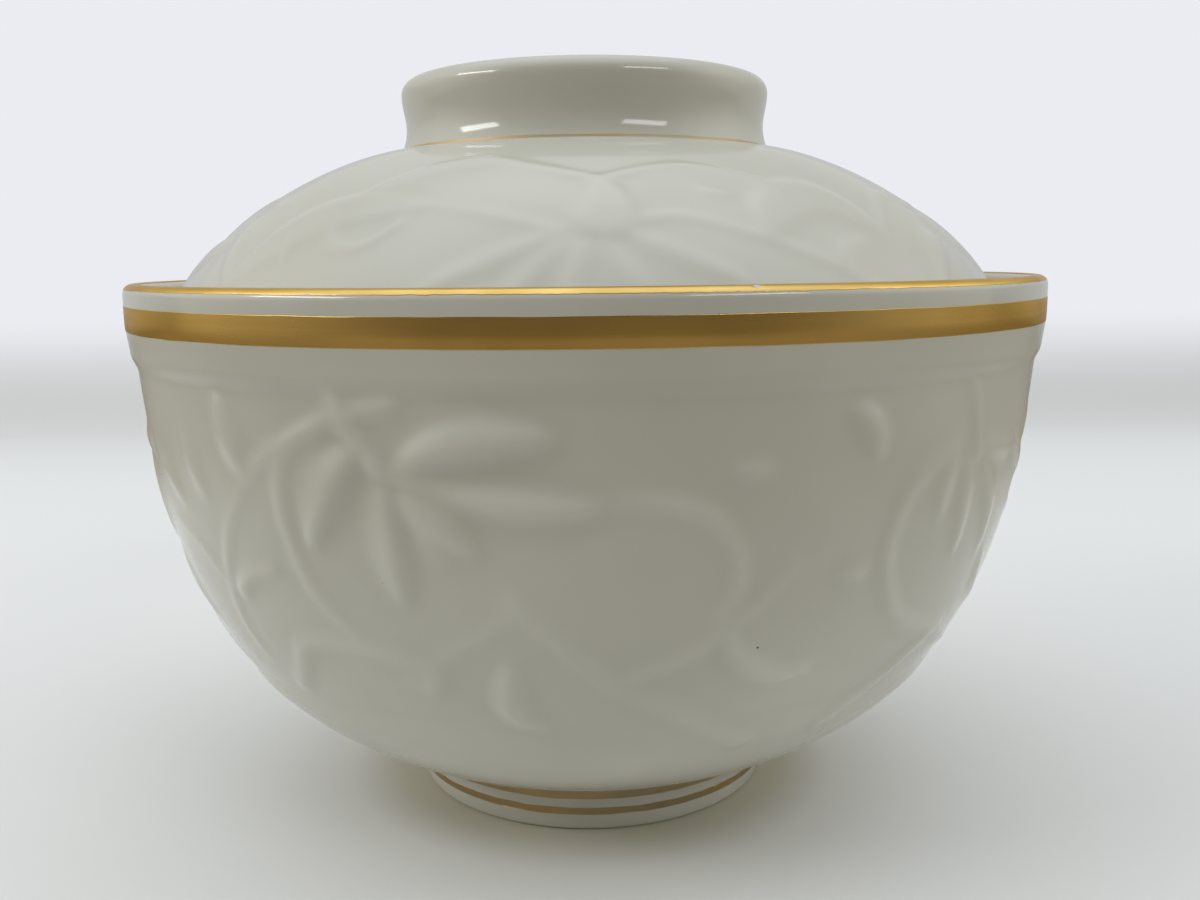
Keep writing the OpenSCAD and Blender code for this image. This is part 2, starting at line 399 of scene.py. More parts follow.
# Liquid bright gold, brushed on while the piece turns on a banding wheel and fired: a satin metal whose
# tone drifts softly round the piece, with faint streaks along the brush's way. Its edge colour keeps the
# gold warm where it is seen at a slant
def firedGold(name, look):
    material, tree, shader = startMaterial(name)
    place = addNode(tree, "ShaderNodeTexCoord").outputs["Object"]
    along = 1 / (look["streakLength"] * mm)
    across = 1 / (look["streakWidth"] * mm)
    stretched = addNode(tree, "ShaderNodeMapping", {"Vector": place, "Scale": (along, along, across)})
    streaks = addNode(tree, "ShaderNodeTexNoise", {"Vector": stretched.outputs[0], "Scale": 1, "Detail": 3})
    drift = addNode(tree, "ShaderNodeTexNoise", {
        "Vector": place, "Scale": 1 / (look["driftSize"] * mm), "Detail": 2})
    mixed = addNode(tree, "ShaderNodeMix", {
        "Factor": look["streakShare"], "A": drift.outputs["Fac"], "B": streaks.outputs["Fac"]})
    wear = {"Value": mixed.outputs[0], "From Min": wearNoise[0], "From Max": wearNoise[1]}
    worn = addNode(tree, "ShaderNodeMapRange", wear)
    colour = addNode(tree, "ShaderNodeMix", {
        "Factor": worn.outputs[0], "A": linearColour(look["colour"]), "B": linearColour(look["worn"])},
        data_type="RGBA")
    satin = addNode(tree, "ShaderNodeMapRange", wear | {
        "To Min": look["roughness"][0], "To Max": look["roughness"][1]})
    bump = addNode(tree, "ShaderNodeBump", {
        "Height": streaks.outputs["Fac"], "Strength": 1, "Distance": look["streakDepth"] * mm})
    tree.links.new(colour.outputs["Result"], shader.inputs["Base Color"])
    tree.links.new(satin.outputs[0], shader.inputs["Roughness"])
    tree.links.new(bump.outputs[0], shader.inputs["Normal"])
    shader.inputs["Metallic"].default_value = look["metal"]
    shader.inputs["Specular Tint"].default_value = linearColour(look["edge"])
    return material


porcelain = glazedPorcelain()
bareFoot = barePorcelain()
print("Glaze and bare clay mixed")

# Camera, set as the photograph was taken: close, a little above the lip, tilted down. In mm and degrees
shot = dict(lens=34.5, sensor=36, nearest=10, distance=166.9, height=74.5, pitch=9.44, yaw=0.56, roll=-0.6)


def addCamera():
    pitch, yaw, roll = (math.radians(shot[k]) for k in ("pitch", "yaw", "roll"))
    forward = Vector((math.sin(yaw) * math.cos(pitch), math.cos(yaw) * math.cos(pitch),
                      -math.sin(pitch)))
    right = forward.cross(Vector((0, 0, 1))).normalized()
    up = right.cross(forward)
    across = math.cos(roll) * right + math.sin(roll) * up
    upright = math.cos(roll) * up - math.sin(roll) * right
    data = bpy.data.cameras.new("camera")
    data.lens, data.sensor_width, data.clip_start = shot["lens"], shot["sensor"], shot["nearest"] * mm
    camera = bpy.data.objects.new("camera", data)
    turned = Matrix((across, upright, -forward)).transposed().to_4x4()
    camera.matrix_world = Matrix.Translation((0, -shot["distance"] * mm, shot["height"] * mm)) @ turned
    bpy.context.scene.collection.objects.link(camera)
    bpy.context.scene.camera = camera


addCamera()
print("Camera placed")

# Bowl, with the same sizes as its frame, in mm and degrees
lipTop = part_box("lip_gilding")[1]
bowl = dict(
    rimRadius=lipTop.x / mm, rimHeight=lipTop.z / mm,
    lipWall=2.7, lipRound=1.2, collarWidth=8.6, collarTaper=0.45, taperHeight=4.1,
    bellyFlare=19.5, bellyPull=31, wallLean=4.5, wallPull=24, bellyWall=3.8, floorWall=4.4,
    floorStart=0.3,  # share of the belly's line at which the inside leaves it for the floor
    floorPulls=(0.25, 0.6),  # how far the floor keeps its directions, as shares of its radius
    footBaseRadius=25.2, footTopRadius=26.7, footHeight=6.7, footWall=3.4, footRound=0.8,
    wellDepth=5, glazeFillet=1,
    bareHeight=0.12,  # the foot is bare up to here
    underGold=0.03,  # how far the glaze lies below the gold
    rowSpacing=0.55, lipSpacing=0.8, insideSpacing=1.2, columns=720, fewColumns=180,
)
goldTop = 0.03  # mm that gold stands proud of the glaze under it

# The vine goes round in three like runs, on ground that is sunk from start up to the collar's ledge, in mm.
# A line's points are (degrees round, mm up the wall from the foot)
bowlVine = dict(turns=3, depth=1.0, blend=3, softness=4, sunk=0.6, ledge=2.2, start=26, startFade=5, parts=[
    # main spray: five leaves from one stem
    dict(line=[(-18, 62.9), (-13.4, 64.9), (-8.5, 65.8), (-2.8, 65.9)],
         width=6.8, height=1.2, tip=1, flat=0.1),
    dict(line=[(-14.5, 60.7), (-9.5, 59.6), (-4.5, 58.9), (1.2, 58.8)],
         width=5.2, height=1.2, tip=1.1, flat=0.05),
    dict(line=[(-18.2, 60), (-15.6, 57.4), (-13.2, 55.3), (-10.4, 53.6)],
         width=6.0, height=1.0, tip=0.9, lean=0.2),
    dict(line=[(-16.8, 56.6), (-15.4, 54.2), (-13.2, 52)], width=2.6, height=0.5, tip=0.9),
    dict(line=[(-19.8, 61), (-19.4, 56), (-19.2, 51.5), (-18.9, 47.4)],
         width=6.0, height=0.95, tip=0.9, lean=-0.2),
    dict(line=[(-22, 64.3), (-24.8, 61.3), (-26.8, 57.9), (-29.2, 53)],
         width=7.0, height=1.1, tip=0.95, lean=-0.2),
    dict(line=[(-24.2, 69.5), (-23.2, 67), (-21.8, 65), (-20, 63)], width=(3.4, 3.2), height=(0.5, 0.8)),
    dict(line=[(-20.4, 62.8), (-17, 61.5), (-13.5, 60.6)], width=(2.6, 2.2), height=(0.7, 0.6)),
    # the two long stems on the left, and the curl between them
    dict(line=[(-18, 69), (-22, 68), (-26, 66.6), (-31, 64.2), (-35, 61.7), (-38.4, 58.7), (-41, 55.6),
               (-43.6, 51.5), (-45.6, 46.5), (-46.5, 41), (-45, 36)], width=(2.8, 2.4), height=(0.6, 0.22)),
    dict(line=[(-26.5, 66), (-29.6, 64.4), (-31.6, 61.8), (-32.4, 58.6), (-32, 54.2), (-30.7, 49.3),
               (-28.4, 45.8), (-24.9, 42.2), (-17.6, 39.3)], width=(3.4, 2.4), height=(0.5, 0.3), lean=-0.1),
    dict(line=[(-43.2, 45.9), (-41.2, 47.7), (-38.9, 49), (-35.5, 49.9)],
         width=(2.8, 2.2), height=(0.75, 0.5)),
    # broad leaf low on the left
    dict(line=[(-40.2, 32.5), (-37.6, 36), (-35.4, 39.4), (-32, 41), (-27, 41.4), (-21.5, 40.7),
               (-17.2, 38.8), (-18.5, 36.5)], width=(4.0, 3.4), height=(0.4, 0.45)),
    # stems that cross low on the front, and the bud between them
    dict(line=[(-7.5, 48.5), (-5.1, 45.8), (-1.3, 41.6), (2.4, 38.1), (7.8, 34.6), (12, 31.6), (16, 29),
               (19.5, 27.2)], width=(4.0, 5.0), height=(0.4, 0.4)),
    dict(line=[(-6.5, 47.5), (-11, 44.5), (-16, 41), (-21, 37)], width=(2.4, 2.2), height=(0.3, 0.2)),
    dict(line=[(-8.3, 41), (-9.2, 38.2), (-9.2, 35), (-7.9, 32.3), (-5.4, 31.3)],
         width=5.0, height=0.95, tip=0.9),
    # round curl on the front, with its stem and the leaves along it
    dict(line=[(0.5, 59), (4.4, 59.3), (8.4, 58.8)], width=(1.8, 3.2), height=(0.12, 0.65)),
    dict(line=[(8.4, 58.8), (11.4, 57.3), (13.6, 54.7), (14.6, 51.6), (14.1, 48.4), (12.5, 45.6)],
         width=(3.2, 2.6), height=(0.7, 0.25)),
    dict(line=[(21, 52), (17.2, 47.6), (13.4, 44.2), (9, 41.2), (4.2, 39.2)],
         width=(2.0, 2.8), height=(0.2, 0.5)),
    dict(line=[(13.8, 44.4), (15.6, 41), (18.6, 38.6), (22, 37.5), (26, 38)],
         width=4.6, height=0.85, tip=0.9),
    dict(line=[(13, 62.2), (17.6, 62.2)], width=3.2, height=0.6, tip=1),
    dict(line=[(25.4, 49.6), (30.2, 49.6)], width=2.8, height=0.6, tip=1),
    dict(line=[(25, 67.9), (27.4, 66.6), (28.9, 64.6), (29.2, 62)], width=4.4, height=0.7, tip=1),
    # large leaf on the right, and the small spray inside it
    dict(line=[(41, 62), (37, 60.4), (34.3, 57.6), (32.9, 54.2), (32.7, 50), (34.4, 46), (37.2, 42.4),
               (42.2, 39.8), (49, 38)], width=(3.6, 3.4), height=(0.3, 0.42)),
    dict(line=[(42, 61.4), (40.4, 58), (40, 53.6)], width=4.4, height=0.42, tip=1),
    dict(line=[(44.4, 60.4), (45, 55.5), (45.2, 48.5)], width=4.6, height=0.5, tip=1),
    dict(line=[(47.6, 60), (51.2, 56), (52.8, 52), (53.2, 47.5)], width=4.8, height=0.6, tip=1),
    dict(line=[(47, 61.8), (52, 60.8), (58, 60.2)], width=4.0, height=0.5, tip=1),
    dict(line=[(43, 69.5), (45, 65.5), (46.4, 61)], width=(2.2, 2.4), height=(0.3, 0.45)),
    # leaves that climb on the left edge of the run
    dict(line=[(-37.6, 60.8), (-39.4, 64.8), (-40.4, 69.4)], width=6.2, height=0.75, tip=0.9, lean=-0.1),
    dict(line=[(-45.5, 56.5), (-47.5, 60), (-49.5, 64)], width=4.6, height=0.4, tip=0.9),
    dict(line=[(-52, 55), (-56.5, 58.5), (-62, 61)], width=4.0, height=0.45, tip=0.9),
    dict(line=[(-47, 47), (-52, 50.5), (-58, 52)], width=(2.0, 1.8), height=(0.3, 0.2)),
    # stems low on the right
    dict(line=[(47, 37.2), (43.5, 35.2), (38.5, 31.2), (32, 27)], width=(3.0, 2.8), height=(0.6, 0.5)),
    dict(line=[(49, 38), (55, 34.5), (64, 31)], width=(2.4, 2.2), height=(0.5, 0.3)),
    dict(line=[(56, 47), (58, 42), (63, 38)], width=4.0, height=0.45, tip=0.9),
])


# Glaze runs off the ridges and gathers beside them; this also paints shade into the hollows beside the relief
# and lightens its ridges
def poolingAndShade(heights):  # glaze runs off the ridges and gathers beside them
    hollow = soften(heights, glaze["poolAndShadeReach"]) - heights
    return np.clip(glaze["gatherAndShade"] * hollow, *glaze["poolAndShadeLimits"])


def bellyLine():
    b = bowl
    return curveBetween([b["footTopRadius"], b["footHeight"]], b["bellyFlare"], b["bellyPull"],
                        [b["rimRadius"] - b["collarTaper"], b["rimHeight"] - b["collarWidth"]],
                        90 - b["wallLean"], b["wallPull"])


def lipEdges():  # the glazed lip's outer radius, its height and its inner radius
    b = bowl
    return (b["rimRadius"] - b["underGold"], b["rimHeight"] - b["underGold"],
            b["rimRadius"] - b["lipWall"] + b["underGold"])


def collarLine():  # from the top of the belly out to the lip's radius
    start = bellyLine()[-1]
    return blend(start, 90 - bowl["wallLean"], [lipEdges()[0], start[1] + bowl["taperHeight"]], 90)


def lipArcs(steps):  # the lip's rounding, first outside, then inside
    rim, top, inner = lipEdges()
    return (corner([rim, 0], [rim, top], [inner, top], bowl["lipRound"], steps),
            corner([rim, top], [inner, top], [inner, 0], bowl["lipRound"], steps))


def bowlLines():
    b = bowl
    belly = bellyLine()
    share = np.linspace(0, 1, len(belly))[:, None]
    inside = belly - sideways(belly) * (b["bellyWall"] + (b["lipWall"] - b["bellyWall"]) * share)
    turnIn = int(b["floorStart"] * (len(belly) - 1))
    step = belly[turnIn + 1] - belly[turnIn - 1]
    floorAngle = math.degrees(math.atan2(step[1], step[0])) + 180
    outerPull, middlePull = np.array(b["floorPulls"]) * inside[turnIn][0]
    floor = curveBetween(inside[turnIn], floorAngle, outerPull,
                         [0, b["wellDepth"] + b["floorWall"]], 180, middlePull)
    innerWall = np.concatenate([evenly(inside[turnIn:], b["insideSpacing"])[::-1],
                                evenly(floor, b["insideSpacing"])[1:]])
    footInner = b["footBaseRadius"] - b["footWall"]
    well, footIn = [footInner, b["wellDepth"]], [footInner, 0]
    footOut, footTop = [b["footBaseRadius"], 0], [b["footTopRadius"], b["footHeight"]]
    foot = join(
        [[0, b["wellDepth"]]],
        corner([0, b["wellDepth"]], well, footIn, b["glazeFillet"]),
        corner(well, footIn, footOut, b["footRound"]),
        corner(footIn, footOut, footTop, b["footRound"]),
        corner(footOut, footTop, belly[20], b["glazeFillet"]))  # belly[20] gives the way the belly sets out
    field = evenly(belly, b["rowSpacing"])
    field = field[np.hypot(*(field - foot[-1]).T).argmin() + 1:]
    lip = join(field[-1:], collarLine()[1:], *lipArcs(steps=8), spacing=b["lipSpacing"])[1:]
    return foot, field, lip, innerWall


def leaveRingBare(thing, bands, ring):  # bare clay on the faces between a ring's first row and its last
    thing.data.materials.append(porcelain)
    thing.data.materials.append(bareFoot)
    bare = (bands >= ring[0]) & (bands < ring[-1])
    thing.data.polygons.foreach_set("material_index", bare.astype(np.int32))


def makeBowl():
    foot, field, lip, innerWall = bowlLines()
    outline = np.concatenate([foot, field, lip, innerWall])
    innerStart = len(outline) - len(innerWall)
    standing = [i for i in range(len(foot)) if foot[i][1] < bowl["bareHeight"]]
    columns = [bowl["fewColumns"]] * len(outline)
    columns[0] = columns[-1] = 1
    for i in range(standing[-1] - 1, innerStart + 2):  # from the foot's edge, up the outside and over the lip
        columns[i] = bowl["columns"]
    along = lengthAlong(field) + lengthAlong(bellyLine())[-1] - lengthAlong(field)[-1]
    heights = pressRelief(field[:, 0], along, bowl["columns"], bowlVine)
    poolAndShade = poolingAndShade(heights)
    fade = smoothStep((along[-1] - along) / bowlVine["ledge"])  # nothing crosses the edge of the collar
    ground = bowlVine["sunk"] * fade * smoothStep((along - bowlVine["start"]) / bowlVine["startFade"])
    heights = heights * fade[:, None] - ground[:, None]
    lean = np.maximum(sideways(field)[:, 0], 0.1)  # kept off zero, because it divides
    space = (lipEdges()[0] - field[:, 0]) / lean
    heights = np.minimum(heights, space[:, None])  # no leaf stands out past the lip
    thing, bands = turnMesh("bowl_porcelain", outline, columns, len(foot), heights, poolAndShade * fade[:, None])
    leaveRingBare(thing, bands, standing)
    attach(thing, "bowl")
    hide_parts("bowl_body")
    return innerWall


bowlInside = makeBowl()
print("Bowl turned and its vine pressed")

# Lid, with the same sizes as its frame, in mm and degrees
lid = dict(
    domeRise=16.9, lidDrop=10.6, seatGap=0.3, lidWall=2.7, lidRound=1.2,
    domeSlope=2, domePull=8.5, skirtLean=12, skirtPull=16, domeWall=3.5, crownRise=1.1,
    gripRadius=25.3, gripHeight=9.7, gripWall=3.8, gripRound=2, gripInnerRound=0.7, glazeFillet=1,
    waist=0.55, waistHeight=3.3, gripSpread=0.8,
    bareDepth=0.05,  # the ring is bare down to here
    rowSpacing=0.5, insideSpacing=1.2, columns=720, fewColumns=180,
)

# Its vine's points are (degrees round, mm out from the grip ring). It fades out towards the edge and the ring
lidVine = dict(turns=3, depth=1.0, blend=3, softness=4, edgeFade=5, gripFade=4, parts=[
    # spray of leaves that hangs to the front
    dict(line=[(-2, 26.5), (-10, 30.5), (-19, 35)], width=4.6, height=0.3, tip=0.9),
    dict(line=[(-1.5, 27.5), (-6, 32.5), (-10, 38)], width=4.4, height=0.3, tip=0.9),
    dict(line=[(0, 28), (-1.5, 33), (-2, 39)], width=4.4, height=0.35, tip=0.9),
    dict(line=[(1.5, 27.5), (4.5, 32.5), (8, 38)], width=4.4, height=0.3, tip=0.9),
    dict(line=[(3, 26.5), (10, 30), (18, 34)], width=4.6, height=0.3, tip=0.9),
    dict(line=[(2, 28), (2.5, 23), (2, 17)], width=9.0, height=0.5, tip=0.7, flat=0.35),
    # large leaves to the left and right of it
    dict(line=[(-49, 34), (-43, 27), (-34, 22.5), (-20, 22)], width=9.0, height=0.4, tip=1, flat=0.5),
    dict(line=[(-43, 25), (-41, 28), (-39, 31)], width=3.4, height=0.45, tip=1),
    dict(line=[(-36, 24.5), (-33, 28), (-28, 28.5), (-24, 25)], width=(2.2, 2.2), height=(0.35, 0.35)),
    dict(line=[(22, 28), (27, 22.5), (35, 21), (42, 27)], width=9.0, height=0.42, tip=1, flat=0.5),
    dict(line=[(30, 33), (33, 29.5), (38, 28)], width=3.6, height=0.4, tip=1),
    # stems that tie them together
    dict(line=[(-20, 22), (-12, 24), (-4, 26.5)], width=(2.8, 2.6), height=(0.2, 0.25)),
    dict(line=[(4, 26), (12, 24.5), (22, 28), (32, 33), (40, 38)], width=(2.8, 2.4), height=(0.25, 0.2)),
    dict(line=[(-34, 19), (-27, 14), (-17, 12), (-8, 14.5), (2, 17.5)], width=(2.4, 2.4), height=(0.3, 0.35)),
    dict(line=[(2, 17.5), (10, 15), (18, 14.5), (27, 18)], width=(2.4, 2.4), height=(0.35, 0.3)),
    dict(line=[(16, 19), (18.5, 20.5), (21, 20)], width=2.6, height=0.35, tip=1),
    dict(line=[(42, 27), (48, 22), (56, 19), (66, 21)], width=(2.4, 2.4), height=(0.35, 0.3)),
    dict(line=[(46, 36), (51, 30), (58, 27)], width=6.0, height=0.45, tip=1, flat=0.3),
    dict(line=[(-49, 34), (-55, 29), (-60, 24)], width=(2.2, 2.2), height=(0.35, 0.3)),
])


def gripSide(steps=12):  # the grip ring's outside, from the dome up past its waist to its widest
    d = lid
    dome = bowl["rimHeight"] + d["domeRise"]
    waist = np.array([d["gripRadius"] - d["waist"], dome + d["waistHeight"]])
    out, drop = d["gripSpread"], d["waistHeight"]
    radius = (drop ** 2 + out ** 2) / (2 * out)
    angle = np.linspace(math.asin(drop / radius), 0, steps)
    spread = waist + radius * np.stack([1 - np.cos(angle), -np.sin(angle)], 1)
    return join(spread, blend(waist, 90, [d["gripRadius"], dome + d["gripHeight"] - d["gripRound"]], 90))


def lidLines():
    d = lid
    domeHeight = bowl["rimHeight"] + d["domeRise"]
    top = domeHeight + d["gripHeight"]
    edgeHeight = bowl["rimHeight"] - d["lidDrop"]
    crown = domeHeight + d["crownRise"]
    order = np.argsort(bowlInside[:, 1])
    seat = np.interp(edgeHeight + d["lidRound"], bowlInside[order, 1], bowlInside[order, 0])
    edgeRadius = seat - d["seatGap"]
    gripInner = d["gripRadius"] - d["gripWall"]
    dome = curveBetween(gripSide()[0], -d["domeSlope"], d["domePull"],
                        [edgeRadius, edgeHeight + d["lidRound"]], d["skirtLean"] - 90, d["skirtPull"])
    share = np.linspace(0, 1, len(dome))[:, None]
    under = dome + sideways(dome) * (d["domeWall"] + (d["lidWall"] - d["domeWall"]) * share)
    hollow = join([[0, domeHeight - d["domeWall"]]], evenly(under, d["insideSpacing"]),
                  spacing=d["insideSpacing"])
    edge, innerEdge = [edgeRadius, edgeHeight], [edgeRadius - d["lidWall"], edgeHeight]
    rim = join(hollow[-1:],
               corner([innerEdge[0], top], innerEdge, edge, d["lidRound"]),
               corner(innerEdge, edge, [edgeRadius, top], d["lidRound"]))[1:]
    field = evenly(dome, d["rowSpacing"])[::-1][1:]
    outer, inner, floor = [d["gripRadius"], top], [gripInner, top], [gripInner, crown]
    grip = join(gripSide(),
                corner([d["gripRadius"], 0], outer, inner, d["gripRound"]),
                corner(outer, inner, floor, d["gripInnerRound"]),
                corner(inner, floor, [0, crown], d["glazeFillet"]),
                [[0, crown]])
    return hollow, rim, field, grip[1:], top


def makeLid():
    hollow, rim, field, grip, top = lidLines()
    outline = np.concatenate([hollow, rim, field, grip])
    fieldStart = len(hollow) + len(rim)
    gripStart = fieldStart + len(field)
    crest = [i for i in range(gripStart, len(outline)) if outline[i][1] > top - lid["bareDepth"]]
    columns = [lid["fewColumns"]] * len(outline)
    columns[0] = columns[-1] = 1
    for i in range(len(hollow) - 2, crest[-1] + 2):  # from the lid's edge to the top of its grip ring
        columns[i] = lid["columns"]
    fromEdge = lengthAlong(field)
    fromGrip = fromEdge[-1] - fromEdge
    heights = pressRelief(field[:, 0], fromGrip, lid["columns"], lidVine)
    fade = smoothStep(fromEdge / lidVine["edgeFade"]) * smoothStep(fromGrip / lidVine["gripFade"])
    fade = fade[:, None]
    thing, bands = turnMesh("lid_porcelain", outline, columns, fieldStart, heights * fade,
                            poolingAndShade(heights) * fade)
    leaveRingBare(thing, bands, crest)
    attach(thing, "lid")
    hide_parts("lid_body")


makeLid()
print("Lid turned and its vine pressed")


# Gold lines: thin closed ribbons on the glaze, whose edges wander as a brush does

def wander(columns, size, waves, seed):  # a random edge, in mm, with up to about so many waves round
    noise = np.random.default_rng(seed).normal(size=columns)
    turns = np.fft.rfftfreq(columns, 1 / columns)
    wave = np.fft.irfft(np.fft.rfft(noise) * np.exp(-(turns / waves) ** 2), columns)
    return size * wave / wave.std()


def goldRibbon(name, node, body, path, look, startEdge, endEdge, material):
    # path runs across the ribbon. startEdge and endEdge are each column's change of its two ends, in mm
    columns, rows, edge, second = (look[k] for k in ("columns", "rows", "edgeRow", "secondRow"))
    along, out = lengthAlong(path), sideways(path)
    share = np.array([0, edge, *np.linspace(second, 1 - second, rows - 4), 1 - edge, 1])[:, None]
    place = (1 - share) * startEdge + share * (along[-1] - endEdge)
    at = np.stack([np.interp(place, along, path[:, k]) for k in (0, 1)], -1)
    side = np.stack([np.interp(place, along, out[:, k]) for k in (0, 1)], -1)
    crown = look["proud"] * np.minimum(1, np.minimum(share, 1 - share) / edge + look["edgeProud"])
    shell = np.concatenate([at + side * crown[..., None], (at - side * look["sunk"])[::-1]])
    points = ringPoints(columns, shell[..., 0], shell[..., 1]) * mm
    count = 2 * rows
    a = np.arange(count * columns).reshape(count, columns)
    b = np.roll(a, -1, 0)
    faces = np.stack([a, np.roll(a, -1, 1), np.roll(b, -1, 1), b], -1).reshape(-1, 4)
    j, i = np.meshgrid(np.arange(columns), np.arange(count))
    places = np.stack([j / columns, i / count, (j + 1) / columns, i / count,
                       (j + 1) / columns, (i + 1) / count, j / columns, (i + 1) / count], -1)
    ribbon = addObject(name, points.reshape(-1, 3).tolist(), faces.tolist(), places, [material])
    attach(ribbon, body)
    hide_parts(node)
    return ribbon


# On the lip, a lighter gold, a painted highlight of the lamps that shine on it. Each look's sizes are in mm
brightGold = firedGold("firedBrightGold", dict(
    colour="#e5c37b", worn="#cea961", edge="#f3e0b8", roughness=(0.16, 0.26), metal=1,
    driftSize=12, streakLength=30, streakWidth=0.35, streakShare=0.3, streakDepth=0.001))
# On the band, a deeper tone
bandGold = firedGold("firedBandGold", dict(
    colour="#d7b269", worn="#c19d58", edge="#f3e0b8", roughness=(0.18, 0.3), metal=1,
    driftSize=16, streakLength=40, streakWidth=0.5, streakShare=0.25, streakDepth=0.0003))
# On the fine lines, so thin that it looks brown and dull
thinGold = firedGold("firedThinGold", dict(
    colour="#c0a379", worn="#ab9a7c", edge="#f2e6cc", roughness=(0.35, 0.5), metal=0.8,
    driftSize=10, streakLength=12, streakWidth=0.4, streakShare=0.4, streakDepth=0.002))

goldLook = dict(
    columns=1440, fewColumns=720, rows=10,
    edgeRow=0.006, secondRow=0.02,  # shares of the width at which close rows keep the edges crisp
    edgeProud=0.3,  # how much of its thickness the gold keeps at its very edge
    proud=goldTop, sunk=0.05,  # mm above the glaze and below it
)

# Edges drift and have fine teeth, as the brush left them: each is in mm, with its waves round the lip
lipGilding = dict(
    outside=0.6, inside=0.15,  # mm down from the lip's top
    rows=20, steps=16, spacing=0.2,
    drift=0.02, driftWaves=9, driftSeed=4,
    teeth=0.02, teethWaves=420, teethSeed=3,
    inner=0.04, innerWaves=60, innerSeed=5,
    chip=dict(at=15, half=0.35, depth=0.1),  # degrees, mm
)


def addLipGold():
    g = lipGilding
    rim, top, inner = lipEdges()
    wrap = join(*lipArcs(g["steps"]), spacing=g["spacing"])
    along = lengthAlong(wrap)
    outward = wrap[:, 0] > (rim + inner) / 2
    starts = np.interp(top - g["outside"], wrap[outward, 1], along[outward])
    ends = along[-1] - np.interp(top - g["inside"], wrap[~outward, 1][::-1], along[~outward][::-1])
    columns = goldLook["columns"]
    starts = (starts + wander(columns, g["drift"], g["driftWaves"], g["driftSeed"])
              + wander(columns, g["teeth"], g["teethWaves"], g["teethSeed"]))
    ends = ends + wander(columns, g["inner"], g["innerWaves"], g["innerSeed"])
    ribbon = goldRibbon("lip_gold", "lip_gilding", "bowl", wrap, goldLook | dict(rows=g["rows"]),
                        starts, ends, brightGold)
    chip = g["chip"]
    crest, angle = rim - bowl["lipRound"] / 2, math.radians(chip["at"])
    at = Vector((crest * math.sin(angle), -crest * math.cos(angle), top))
    for vert in ribbon.data.vertices:  # one nick, where the lip was knocked
        away = (vert.co / mm - at).length / chip["half"]
        vert.co.z -= chip["depth"] * mm * math.exp(-away ** 2)


# Wide band, in mm. Its edges lie a little inside its width, and drift
bandGilding = dict(drop=2.6, width=3.1, edge=0.03, drift=0.015, waves=60, seeds=(6, 7), rows=16, steps=14)


def addBandGold():
    g = bandGilding
    top = bowl["rimHeight"] - g["drop"]  # the band's upper edge below the lip
    collar = collarLine()
    height = np.linspace(top - g["width"], top, g["steps"])
    path = np.stack([np.interp(height, collar[:, 1], collar[:, 0]), height], 1)
    edges = [g["edge"] + wander(goldLook["columns"], g["drift"], g["waves"], seed) for seed in g["seeds"]]
    goldRibbon("band_gold", "band_gilding", "bowl", path, goldLook | dict(rows=g["rows"]), *edges, bandGold)


# The foot's two lines, in mm, each with its lower edge's height and its width
footGilding = dict(edge=0.03, drift=0.03, waves=50, spacing=0.2, lines=[
    dict(name="foot_gold_low", node="foot_line_low", base=2.45, width=1.15, seeds=(8, 9)),
    dict(name="foot_gold_high", node="foot_line_high", base=4.9, width=1.4, seeds=(10, 11)),
])


def addFootGold():
    b, g = bowl, footGilding
    low, high = np.array([b["footBaseRadius"], 0]), np.array([b["footTopRadius"], b["footHeight"]])
    columns = goldLook["fewColumns"]
    for line in g["lines"]:
        heights = (line["base"], line["base"] + line["width"])
        ends = [low + (high - low) * height / b["footHeight"] for height in heights]
        edges = [g["edge"] + wander(columns, g["drift"], g["waves"], seed) for seed in line["seeds"]]
        goldRibbon(line["name"], line["node"], "bowl", join(ends, spacing=g["spacing"]),
                   goldLook | dict(columns=columns), *edges, thinGold)


# Fine line where the grip ring meets the dome, in mm
gripGilding = dict(width=0.35, edge=0.02, waves=50, seed=13, rows=7, steps=6)


def addGripGold():
    g = gripGilding
    side = gripSide()
    height = side[0][1] + np.linspace(0, g["width"], g["steps"])
    path = np.stack([np.interp(height, side[:, 1], side[:, 0]), height], 1)
    columns = goldLook["fewColumns"]
    goldRibbon("grip_gold", "grip_line", "lid", path, goldLook | dict(columns=columns, rows=g["rows"]),
               np.zeros(columns), g["edge"] + wander(columns, g["edge"], g["waves"], g["seed"]), thinGold)


addLipGold()
addBandGold()
addFootGold()
addGripGold()
print("Gold lines fired")

# Stage: a pale sweep, its paper turned up behind the piece. Its colour is painted darker further out, a
# painted shade seen by all but camera rays, so that polished walls mirror a quieter floor there. Close round
# the foot it is painted with a deep, warm shadow, as under a bowl. In metres
stage = dict(
    paper="#e4e4e2",
    far="#978f80", brightAt=(-0.01, 0.06, 0), nearReach=0.11, farReach=0.25,
    shade="#c7c4b4", shadeStart=0.0255, shadeEnd=0.037,
    glow="#ebecf1", backLight=0.65,  # how the upright paper looks, and how much of that lights the piece
    foldAt=0.33, foldRadius=0.05, foldSteps=17, wallTop=0.2, halfWidth=1.4, front=-1.2,
)


